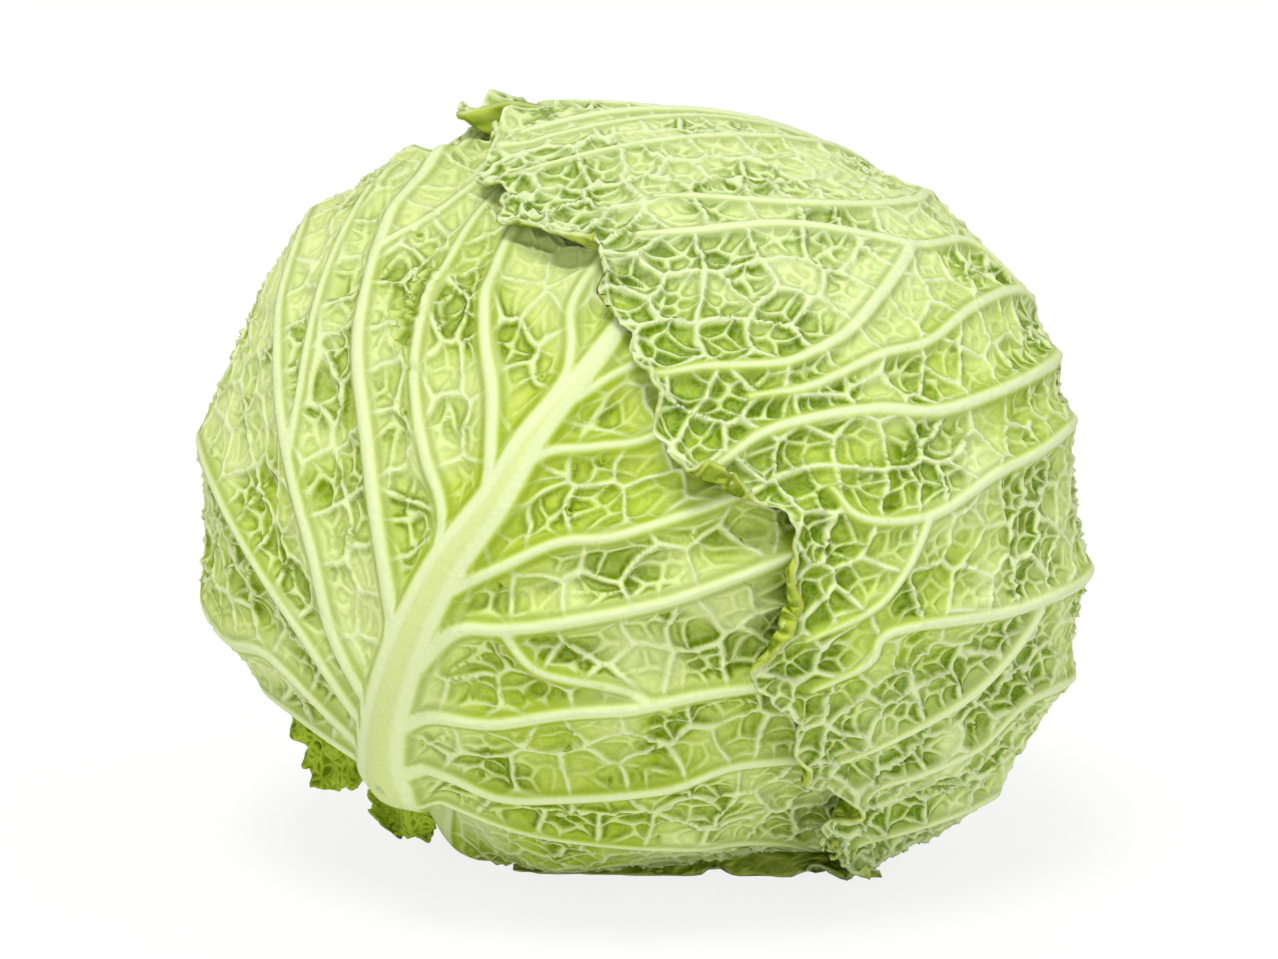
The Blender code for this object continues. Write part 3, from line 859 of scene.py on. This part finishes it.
def leaf_finish_group():
    """Leaf skin: pale blade, cream veins and net, a fine net of its own, painted shade that is green in the
    hollows and dark on the ridges' sides, and painted light that pales the upper skin.
    """
    group, given, out = new_group(
        "leaf_finish",
        [("Place", VECTOR)] + [(f, FLOAT) for f in FIELDS] + [(t + " Tint", COLOUR) for t in TINTS],
        [("Color", COLOUR), ("Roughness", FLOAT), ("Height", FLOAT)])
    get = given.outputs
    spot = get["Place"]
    ramp, hill, mix = partial(fade, group), partial(band, group), partial(blend, group)
    times, most, plus = (partial(maths, group, kind) for kind in ("MULTIPLY", "MAXIMUM", "ADD"))
    broad = soft_noise(group, spot, 22.0, 2.0)
    patchy = soft_noise(group, spot, 130.0, 4.0)
    grain = soft_noise(group, spot, 900.0, 3.0)

    # Veinlets: the borders of tiny cells whose places are shifted a little by a noise.
    wobble = group.nodes.new("ShaderNodeTexNoise")
    plug(group, wobble.inputs["Vector"], spot)
    wobble.inputs["Scale"].default_value = 300.0
    scaled, warped = group.nodes.new("ShaderNodeVectorMath"), group.nodes.new("ShaderNodeVectorMath")
    scaled.operation = "SCALE"
    plug(group, scaled.inputs[0], wobble.outputs["Color"])
    scaled.inputs["Scale"].default_value = 0.0018
    plug(group, warped.inputs[0], spot)
    plug(group, warped.inputs[1], scaled.outputs[0])
    veinlets = group.nodes.new("ShaderNodeTexVoronoi")
    veinlets.feature = "DISTANCE_TO_EDGE"
    plug(group, veinlets.inputs["Vector"], warped.outputs[0])
    veinlets.inputs["Scale"].default_value = 430.0
    veinlet = times(ramp(veinlets.outputs["Distance"], 0.0, 0.16, 1.0, 0.0), get["strength"])

    # Pale parts: crests of the veins, lines of the net and the rim of the leaf.
    crest = ramp(get["vein_gap"], -0.5, 0.5, 1.0, 0.0)
    net = ramp(get["net_gap"], 0.1, 0.75, 0.95, 0.0)
    mesh = times(ramp(get["mesh_gap"], 0.0, 0.5, 0.75, 0.0), ramp(get["tone"], 0.1, 0.8, 0.3, 1.0))
    lines = times(most(net, mesh), ramp(get["strength"], 0.0, 0.6, 0.25, 1.0))
    lines = most(lines, times(veinlet, VEINLET_STRENGTH))
    pale = most(most(crest, lines), ramp(get["edge"], 0.2, 1.1, 0.7, 0.0))

    # Painted shade on the steep sides of the ridges and in a band beside the veins, darker than the skin
    # between them.
    sides = most(hill(get["net_gap"], 0.35, 1.0, 2.6, 1.1), hill(get["mesh_gap"], 0.2, 0.75, 1.8, 0.95))
    sides = times(sides, ramp(get["strength"], 0.0, 0.7, 0.1, 1.0))
    sides = times(sides, ramp(patchy, 0.3, 0.6, 0.45, 1.0))
    sides = times(sides, ramp(get["tone"], 0.1, 0.85, 0.25, 1.0))
    sides = most(sides, hill(get["vein_gap"], -0.2, 0.9, 2.6, 0.5))

    # Painted light: the skin is painted paler towards the top, and its hollows less green there, standing in
    # for strong light from above.
    height_up = group.nodes.new("ShaderNodeSeparateXYZ")
    plug(group, height_up.inputs[0], spot)
    painted_top_light_mask = ramp(height_up.outputs["Z"], *PAINTED_TOP_LIGHT_HEIGHTS)
    # Painted shade: the hollows are painted a deeper green, and the deepest darker still, varied in patches.
    sunk = plus(get["hollow"], times(maths(group, "SUBTRACT", patchy, 0.5), 0.5))
    green = times(ramp(sunk, 0.10, 0.80, 0.0, 0.8), ramp(painted_top_light_mask, 0.0, 1.0, 1.0, 0.6))
    dark = ramp(sunk, 0.50, 0.95, 0.0, 0.8)
    pallor = maths(group, "SUBTRACT", ramp(broad, 0.35, 0.65), ramp(get["tone"], 0.0, 0.6, 0.0, 0.5))
    pallor = plus(pallor, times(painted_top_light_mask, PAINTED_TOP_LIGHT_AMOUNT))
    skin = mix(plus(pallor, 0.25), get["Blade Tint"], get["Pale Tint"])
    # Painted shade laid over the skin: the hollow tint in the hollows, the deep tint in the deepest hollows
    # and on the ridges' sides.
    skin = mix(green, skin, get["Hollow Tint"])
    skin = mix(dark, skin, get["Deep Tint"])
    skin = mix(sides, skin, get["Deep Tint"])
    skin = mix(pale, skin, get["Vein Tint"])
    skin = mix(ramp(get["vein_gap"], -1.4, -3.0), skin, get["Rib Tint"])
    skin = mix(get["inside"], skin, mix(1.0, skin, get["Inner Tint"], "MULTIPLY"))
    bright = group.nodes.new("ShaderNodeHueSaturation")
    plug(group, bright.inputs["Color"], skin)
    plug(group, bright.inputs["Value"], ramp(grain, 0.3, 0.7, 0.975, 1.02))

    height = plus(plus(times(lines, 0.6), times(grain, 0.06)), times(patchy, 0.35))
    plug(group, out.inputs["Color"], bright.outputs["Color"])
    plug(group, out.inputs["Roughness"], ramp(patchy, 0.3, 0.7, 0.42, 0.56))
    plug(group, out.inputs["Height"], height)
    return group


def new_material(name):
    """A material, its node tree and its Principled shader."""
    material = bpy.data.materials.new(name)
    material.use_nodes = True
    return material, material.node_tree, material.node_tree.nodes["Principled BSDF"]


def attribute(tree, name):
    """The output of a number that the mesh holds at its points."""
    source = tree.nodes.new("ShaderNodeAttribute")
    source.attribute_name = name
    return source.outputs["Fac"]


def leaf_material(name, group, tints):
    """A leaf's own skin: the shared finish fed with its fields and its tints."""
    material, tree, shader = new_material(name)
    finish = tree.nodes.new("ShaderNodeGroup")
    finish.node_tree = group
    plug(tree, finish.inputs["Place"], tree.nodes.new("ShaderNodeTexCoord").outputs["Object"])
    for field in FIELDS:
        plug(tree, finish.inputs[field], attribute(tree, field))
    for tint, colour in zip(TINTS, tints):
        finish.inputs[tint + " Tint"].default_value = colour + (1.0,)
    plug(tree, shader.inputs["Base Color"], finish.outputs["Color"])
    plug(tree, shader.inputs["Roughness"], finish.outputs["Roughness"])
    relief = tree.nodes.new("ShaderNodeBump")
    relief.inputs["Distance"].default_value = LEAF_BUMP
    relief.inputs["Strength"].default_value = 0.9
    plug(tree, relief.inputs["Height"], finish.outputs["Height"])
    plug(tree, shader.inputs["Normal"], relief.outputs["Normal"])
    shader.inputs["Specular IOR Level"].default_value = 0.07
    return material


def rib_distance(rank, midrib):
    """A function giving how far points are from a leaf's midrib."""
    runs = vein_runs(rank, [midrib])

    def away(points):
        flat = points.reshape(-1, 3)
        nearest = np.full(len(flat), 1.0)
        for run in runs:
            start, along = run[0:3], run[3:6] - run[0:3]
            t = np.clip((flat - start) @ along / (along @ along), 0.0, 1.0)
            nearest = np.minimum(nearest, np.linalg.norm(flat - start - t[:, None] * along, axis=1))
        return nearest.reshape(points.shape[:-1])

    return away


def pinnate(midrib, first, last, count, reach, rise, sizes):
    """Veins in pairs up a midrib: each runs out sideways to its reach and bends up by its rise."""
    ribs = np.array(midrib, dtype=float)
    veins = []
    for number, y in enumerate(np.linspace(first, last, count)):
        x = np.interp(y, ribs[:, 1], ribs[:, 0])
        for side in (-1.0, 1.0):
            start = y + (3.0 if side > 0 else 0.0)
            t = np.array([0.0, 0.3, 0.65, 1.0])
            bend = rise * (0.55 * t + 0.45 * t**2) * (1.0 + 0.12 * math.sin(5.0 * number + side))
            veins.append((sizes, tuple(zip(x + side * reach * t, start + bend))))
    return veins


def leaf_pattern(rank, midrib, veins, cell, pit, seed, **look):
    """What a leaf is built from: its vein runs, the seeds of its cells and pits, and its look."""
    veins = list(tapered(veins))
    beside = beside_veins(rank, veins, 1.15 * cell, 0.52 * cell, seed)
    cells = scatter(rank, 0.72 * cell, 9000, seed + 1, beside)
    pits = scatter(rank, 0.78 * pit, 30000, seed + 2)
    home = np.concatenate([
        np.linalg.norm(part[:, None] - cells, axis=-1).argmin(1) for part in np.array_split(pits, 12)])
    plain = {extra: () for extra in ("curls", "flaps", "dents", "tears", "calm")}
    return plain | look | dict(
        runs=vein_runs(rank, [midrib] + veins), cells=cells, pits=pits, pit_home=home,
        rib_away=rib_distance(rank, midrib))


def finish_piece(obj, material, slot_name, *nodes):
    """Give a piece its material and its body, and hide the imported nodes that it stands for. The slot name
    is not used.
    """
    obj.data.materials.append(material)
    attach(obj, "root")
    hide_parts(*nodes)


# Tints of each leaf skin, in the order of TINTS. The third and fourth are painted shade: green for the
# hollows, and dark for the deepest hollows and the ridges' sides.
PALE_TINTS = (
    (0.50, 0.61, 0.065), (0.70, 0.78, 0.32), (0.31, 0.45, 0.004), (0.15, 0.24, 0.0003),
    (0.71, 0.78, 0.43), (0.62, 0.70, 0.29), (0.75, 0.80, 0.55))
OVER_TINTS = (
    (0.55, 0.68, 0.11), (0.73, 0.82, 0.38), (0.32, 0.47, 0.004), (0.14, 0.24, 0.0003),
    (0.71, 0.79, 0.46), (0.66, 0.75, 0.36), (0.74, 0.76, 0.24))
DARK_TINTS = (
    (0.30, 0.42, 0.006), (0.42, 0.54, 0.030), (0.17, 0.26, 0.002), (0.09, 0.15, 0.0005),
    (0.42, 0.54, 0.05), (0.40, 0.52, 0.05), (0.85, 0.90, 0.60))

# Rows and columns of a leaf's grid: fine where the leaf shows at the front, coarser behind.
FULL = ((289, 269))
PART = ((221, 209))
UNDER = (PART[0] - 20, PART[1] - 20)

MIDRIB_BACK = (
    (0, -73, 7.0, 3.0), (0, -60, 6.2, 5.4), (0, -40, 5.0, 4.8), (1, -15, 3.8, 3.8), (0, 15, 2.8, 3.0),
    (-1, 45, 1.8, 2.0), (0, 76, 0.7, 0.9))
MIDRIB_UNDER = (
    (0, -48, 7.0, 3.0), (0, -38, 6.0, 4.6), (1, -15, 4.4, 3.8), (0, 12, 3.0, 2.8), (-1, 40, 1.8, 1.8),
    (0, 66, 0.7, 0.8))
SIDE_VEIN = (1.4, 0.5, 2.4, 0.8)

# A leaf's look, in metres: pleats between its veins (pleat), its edge (lift, frill, hem), the depth
# of its large and small hollows (bowl, dimple) and the width of their walls, and where beside a vein
# the relief starts (smooth_band). The height of the net lines is in mm (line). As plain shares: how
# long its cells are along the veins (stretch) and how far the net is kept up at the edge (fringe).
# A dent is a place, a spread (degrees) and a depth. A tear is its two ends, half width and depth.
HIDDEN_LOOK = dict(
    stretch=(1.3, 1.5), smooth_band=(0.0, 0.0034), hem=0.0004, fringe=0.25,
    bowl_wall=0.0032, dimple_wall=0.0019)
finish = leaf_finish_group()

front_pattern = leaf_pattern(
    1, MIDRIB_FRONT, VEINS_FRONT, 0.0105, 0.0042, 11, stretch=(1.45, 1.7),
    smooth_band=(0.0002, 0.0035), pleat=0.0022, lift=0.0, frill=0.0010, hem=0.0, fringe=0.0,
    calm=CALM_FRONT, dents=((-3, -56.5, 8.5, 0.0125),),
    tears=((((-30, 26), (-22, 15)), 0.0034, 0.0024),),
    bowl=0.0017, bowl_wall=0.0030, dimple=0.0013, dimple_wall=0.0015, line=1.2)
front = build_leaf(1, *FULL, (0.0, 0.0), front_pattern, 21)
finish_piece(front, leaf_material("pale_leaf_skin", finish, PALE_TINTS), "outer_leaf", "front_leaf")

over_pattern = leaf_pattern(
    0, MIDRIB_OVER, VEINS_OVER, 0.0100, 0.0037, 31, stretch=(1.2, 1.35),
    smooth_band=(0.0, 0.0022), pleat=0.0013, lift=0.0013, frill=0.0016, hem=0.0005, fringe=0.75,
    calm=CALM_OVER, flaps=FLAPS_OVER, curls=CURLS_OVER,
    bowl=0.0020, bowl_wall=0.0026, dimple=0.0016, dimple_wall=0.0014, line=1.4)
over = build_leaf(0, *FULL, (0.25, -0.12), over_pattern, 41)
finish_piece(over, leaf_material("over_leaf_skin", finish, OVER_TINTS), "outer_leaf", "over_leaf")

back_veins = pinnate(MIDRIB_BACK, -62.0, 48.0, 8, 74.0, 30.0, SIDE_VEIN)
back_pattern = leaf_pattern(
    2, MIDRIB_BACK, back_veins, 0.0110, 0.0047, 51, **HIDDEN_LOOK,
    pleat=0.0024, lift=0.0010, frill=0.0012, bowl=0.0018, dimple=0.0016, line=1.3)
back = build_leaf(2, *PART, (0.0, 0.0), back_pattern, 61)
finish_piece(back, leaf_material("back_leaf_skin", finish, OVER_TINTS), "outer_leaf", "back_leaf")

under_veins = pinnate(MIDRIB_UNDER, -40.0, 40.0, 6, 64.0, 26.0, SIDE_VEIN)
under_pattern = leaf_pattern(
    3, MIDRIB_UNDER, under_veins, 0.0120, 0.0052, 71, **HIDDEN_LOOK,
    pleat=0.0020, lift=0.0006, frill=0.0010, bowl=0.0016, dimple=0.0014, line=1.2)
under = build_leaf(3, *UNDER, (0.0, 0.0), under_pattern, 81)
finish_piece(under, leaf_material("under_leaf_skin", finish, OVER_TINTS), "outer_leaf", "under_leaf")

# Torn ends of two old leaves: middle, half width across and half length down (metres), and
# how deeply each is crumpled.
TORN_LEAVES = (
    ("torn_leaf_side", (-0.0690, -0.0130, 0.0285),
     (0.0092, -0.0030, -0.0010), (0.0015, -0.0010, -0.0098), 0.0024),
    ("torn_leaf_base", (-0.0512, -0.0190, 0.0146),
     (0.0078, -0.0020, -0.0006), (0.0010, -0.0030, -0.0044), 0.0050),
)
FLOOR_GAP = 0.0006


def build_torn_leaf(name, middle, across, down, crumple, seed):
    """A ragged patch that hangs behind the stem end of the head, crumpled all over."""
    across, down = np.array(across), np.array(down)
    facing = unit(np.cross(down, across))
    rng = np.random.default_rng(seed)
    u, v = np.meshgrid(np.linspace(-1, 1, 97), np.linspace(-1, 1, 97))
    x, y = disc(u, v)
    theta = np.arctan2(y, x)
    ragged = 1.0 + 0.05 * np.sin(3 * theta + seed)
    for lobes, size in ((7, 0.045), (13, 0.035), (29, 0.022)):
        ragged = ragged + size * np.sin(lobes * theta + rng.uniform(0.0, 6.3))
    share = np.hypot(x, y)
    base = np.array(middle) + (x * ragged)[..., None] * across + (y * ragged)[..., None] * down
    base = base - 0.0035 * (x**2)[..., None] * facing
    folds = crumple * (waves(base, 0.009, seed + 1) + 0.5 * waves(base, 0.0045, seed + 2))
    base = base + (folds * (0.4 + 0.6 * share**2))[..., None] * facing
    normals = grid_normals(base)
    seeds = base[rng.integers(4, 93, 90), rng.integers(4, 93, 90)]
    flow = np.broadcast_to(unit(base[60, 48] - base[36, 48]), base.reshape(-1, 3).shape)
    net, _, owner = cell_fields(base.reshape(-1, 3), flow, seeds, 1.4)
    net = net.reshape(share.shape)
    draw = rng.uniform(size=len(seeds))[owner].reshape(share.shape)
    edge = (1.0 - share) * np.linalg.norm(down)
    sunk = smooth_step(0.0, 0.0018, net) * (0.3 + 0.7 * draw) * smooth_step(0.0, 0.003, edge)
    outer = base - (0.0011 * sunk)[..., None] * normals
    outer[..., 2] = np.maximum(outer[..., 2], FLOOR_GAP)
    inner = (base - (0.0006 + 0.0009 * smooth_step(0.0, 0.004, edge))[..., None] * normals)[::2, ::2]
    inner[..., 2] = np.maximum(inner[..., 2], 0.5 * FLOOR_GAP)
    midline = np.abs(x) * np.linalg.norm(across) - 0.0005
    # Its hollow field steers the painted shade of the cells in the skin.
    return shell_mesh(name + "_piece", outer, inner, net, {
        "vein_gap": midline / MM, "net_gap": net / MM, "mesh_gap": np.full(share.shape, FAR_GAP),
        "hollow": 0.9 * sunk, "tone": draw, "strength": np.ones(share.shape), "edge": edge / MM,
    })


dark_skin = leaf_material("torn_leaf_skin", finish, DARK_TINTS)
for number, torn in enumerate(TORN_LEAVES):
    finish_piece(build_torn_leaf(*torn, 91 + 7 * number), dark_skin, "dark_leaf", torn[0])

# Stem: radii and reach from the middle of the head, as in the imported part.
STEM_CUT_RECESS = 0.0065
STEM_CUT_RADIUS = 0.0145
STEM_TOP_RADIUS = 0.0080
STEM_TOP_REACH = 0.0315
STEM_EDGE = 0.0012
STEM_TURNS = 97
STEM_RIDGES = 9


def build_stem():
    """The stem turned about its axis: a fluted cone, a worn edge and a shallow rough cut face."""
    axis = towards(*STEM_POLE)
    cut_reach = float(head_radius(axis)) - STEM_CUT_RECESS
    across = unit(np.cross(axis, (0.0, 0.0, 1.0)))
    beside = np.cross(axis, across)
    side = np.linspace(0.0, 1.0, 24)
    bend = np.linspace(0.0, 0.5 * math.pi, 6)
    face = np.linspace(1.0, 0.0, 20)
    radius = np.concatenate([
        np.linspace(0.0, STEM_TOP_RADIUS, 8, endpoint=False),
        STEM_TOP_RADIUS + (STEM_CUT_RADIUS - STEM_TOP_RADIUS) * side,
        STEM_CUT_RADIUS - STEM_EDGE * (1.0 - np.cos(bend[1:])),
        (STEM_CUT_RADIUS - STEM_EDGE) * face[1:]])
    reach = np.concatenate([
        np.full(8, STEM_TOP_REACH),
        STEM_TOP_REACH + (cut_reach - STEM_EDGE - STEM_TOP_REACH) * side,
        cut_reach - STEM_EDGE + STEM_EDGE * np.sin(bend[1:]),
        cut_reach - 0.0008 * np.sin(math.pi * face[1:])])
    turn = np.linspace(0.0, 2.0 * math.pi, STEM_TURNS)
    flute = 1.0 + 0.035 * np.sin(STEM_RIDGES * turn[:, None]) * (radius > 0.6 * STEM_TOP_RADIUS)
    ring_x = radius * flute * np.cos(turn)[:, None]
    ring_y = radius * flute * np.sin(turn)[:, None]
    points = (HEAD_CENTRE + reach[None, :, None] * axis + ring_x[..., None] * across
              + ring_y[..., None] * beside)
    points[..., 2] = np.maximum(points[..., 2], 0.0)
    numbers = np.arange(points.shape[0] * points.shape[1]).reshape(points.shape[:2])
    numbers[-1] = numbers[0]
    numbers[:, 0] = numbers[0, 0]
    numbers[:, -1] = numbers[0, -1]
    triangles = grid_triangles(numbers, np.zeros(numbers.shape))
    keep = (triangles[:, 0] != triangles[:, 1]) & (triangles[:, 1] != triangles[:, 2])
    keep &= triangles[:, 0] != triangles[:, 2]
    used, triangles = np.unique(triangles[keep], return_inverse=True)
    triangles = triangles.reshape(-1, 3)
    cut = np.broadcast_to(smooth_step(cut_reach - 0.002, cut_reach, reach), points.shape[:2])
    rings = np.broadcast_to(radius, points.shape[:2]) * 1000.0
    flat = points.reshape(-1, 3)[used]
    per_point = {"cut": cut.reshape(-1)[used], "rings": rings.reshape(-1)[used]}
    return make_mesh("stem_piece", flat, face_outwards(flat, triangles), per_point)


def plain_skin(name, light, dark, scale):
    """Smooth pale plant flesh: two tones in soft patches, with a fine grain on the surface."""
    material, tree, shader = new_material(name)
    place = tree.nodes.new("ShaderNodeTexCoord").outputs["Object"]
    patchy = fade(tree, soft_noise(tree, place, scale, 4.0), 0.35, 0.65)
    plug(tree, shader.inputs["Base Color"], blend(tree, patchy, light + (1.0,), dark + (1.0,)))
    plug(tree, shader.inputs["Roughness"], fade(tree, patchy, 0.0, 1.0, 0.45, 0.62))
    relief = tree.nodes.new("ShaderNodeBump")
    relief.inputs["Distance"].default_value = 0.0003
    plug(tree, relief.inputs["Height"], soft_noise(tree, place, 12.0 * scale, 3.0))
    plug(tree, shader.inputs["Normal"], relief.outputs["Normal"])
    return material, tree, shader


# Stem skin: pale flesh, and on the cut face dried brown rings roughened by a noise.
stem_skin, tree, shader = plain_skin("stem_flesh", (0.66, 0.72, 0.36), (0.52, 0.60, 0.24), 90.0)
flesh = shader.inputs["Base Color"].links[0].from_socket
rough = soft_noise(tree, tree.nodes["Texture Coordinate"].outputs["Object"], 260.0, 4.0)
ringed = maths(tree, "SINE", maths(tree, "ADD", maths(tree, "MULTIPLY", attribute(tree, "rings"), 1.5),
                                  maths(tree, "MULTIPLY", rough, 5.0)))
dried = blend(tree, fade(tree, ringed, -1.0, 1.0), (0.50, 0.42, 0.20, 1.0), (0.66, 0.60, 0.36, 1.0))
plug(tree, shader.inputs["Base Color"], blend(tree, attribute(tree, "cut"), flesh, dried))
finish_piece(build_stem(), stem_skin, "stem", "stem")

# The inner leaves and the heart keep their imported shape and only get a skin.
inner_skin = plain_skin("inner_leaf_skin", (0.78, 0.80, 0.45), (0.66, 0.73, 0.30), 60.0)[0]
for name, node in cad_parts.items():
    if name.startswith("inner_leaf") or name == "heart":
        node.data.materials.clear()
        node.data.materials.append(inner_skin)

# Camera: aimed at a point in the head, from so many metres away and raised so many degrees.
HEAD_AIM = (0.0, 0.0, 0.086)
CAMERA_DISTANCE = 0.79
CAMERA_RAISE = 10.0
camera_data = bpy.data.cameras.new("camera")
camera_data.lens = 100.0
camera_data.sensor_width = 36.0
camera = bpy.data.objects.new("camera", camera_data)
bpy.context.scene.collection.objects.link(camera)
raise_angle = math.radians(CAMERA_RAISE)
camera.location = (0.0, -CAMERA_DISTANCE * math.cos(raise_angle),
                   HEAD_AIM[2] + CAMERA_DISTANCE * math.sin(raise_angle))
camera.rotation_euler = (math.pi / 2.0 - raise_angle, 0.0, 0.0)
bpy.context.scene.camera = camera


def soft_sun(name, direction, strength, angle):
    """Even light from one direction, softened over a wide angle (degrees)."""
    data = bpy.data.lights.new(name, "SUN")
    data.energy = strength
    data.angle = math.radians(angle)
    lamp = bpy.data.objects.new(name, data)
    bpy.context.scene.collection.objects.link(lamp)
    away = unit(np.array(direction, dtype=float))
    lamp.rotation_euler = (math.acos(away[2]), 0.0, math.atan2(away[0], -away[1]))


# White lights: name, the direction each comes from, strength, and width (degrees).
for light in (("key", (-0.12, -0.40, 0.90), 2.02, 22.0),
              ("fill", (0.90, -0.40, 0.30), 0.50, 80.0),
              ("front", (-0.05, -0.95, 0.01), 1.18, 50.0)):
    soft_sun(*light)

# White sky: it looks brighter to the camera than the light that it gives.
SKY_LIGHT = 0.42
world = bpy.data.worlds.new("studio")
world.use_nodes = True
tree = world.node_tree
sky = tree.nodes["Background"]
seen_directly = tree.nodes.new("ShaderNodeLightPath").outputs["Is Camera Ray"]
sky.inputs["Color"].default_value = (1.0, 1.0, 1.0, 1.0)
plug(tree, sky.inputs["Strength"], fade(tree, seen_directly, 0.0, 1.0, SKY_LIGHT, 1.0))
bpy.context.scene.world = world
bpy.context.scene.view_settings.view_transform = "Standard"

# Pale floor. To the camera it is whiter than to the light that falls on it, and partly glows, so
# that it looks whiter, and the shadow on it fainter, than they are.
FLOOR_HALF = 6.0
FLOOR_BOUNCE = 0.90
FLOOR_WHITE = 0.99
FLOOR_GLOW = 0.84
floor_mesh = bpy.data.meshes.new("floor")
floor_mesh.from_pydata([(-FLOOR_HALF, -FLOOR_HALF, 0), (FLOOR_HALF, -FLOOR_HALF, 0),
                        (FLOOR_HALF, FLOOR_HALF, 0), (-FLOOR_HALF, FLOOR_HALF, 0)], [], [(0, 1, 2, 3)])
floor = bpy.data.objects.new("floor", floor_mesh)
bpy.context.scene.collection.objects.link(floor)
floor_material, tree, paint = new_material("floor_paint")
seen_floor = tree.nodes.new("ShaderNodeLightPath").outputs["Is Camera Ray"]
plug(tree, paint.inputs["Base Color"], fade(tree, seen_floor, 0.0, 1.0, FLOOR_BOUNCE, FLOOR_WHITE))
paint.inputs["Roughness"].default_value = 0.9
mixed = tree.nodes.new("ShaderNodeMixShader")
plug(tree, mixed.inputs["Fac"], maths(tree, "MULTIPLY", seen_floor, FLOOR_GLOW))
plug(tree, mixed.inputs[1], paint.outputs[0])
plug(tree, mixed.inputs[2], tree.nodes.new("ShaderNodeEmission").outputs[0])
plug(tree, tree.nodes["Material Output"].inputs["Surface"], mixed.outputs[0])
floor_mesh.materials.append(floor_material)


def plain(box):
    """A box as plain lists of numbers."""
    return [[float(x) for x in corner] for corner in box]
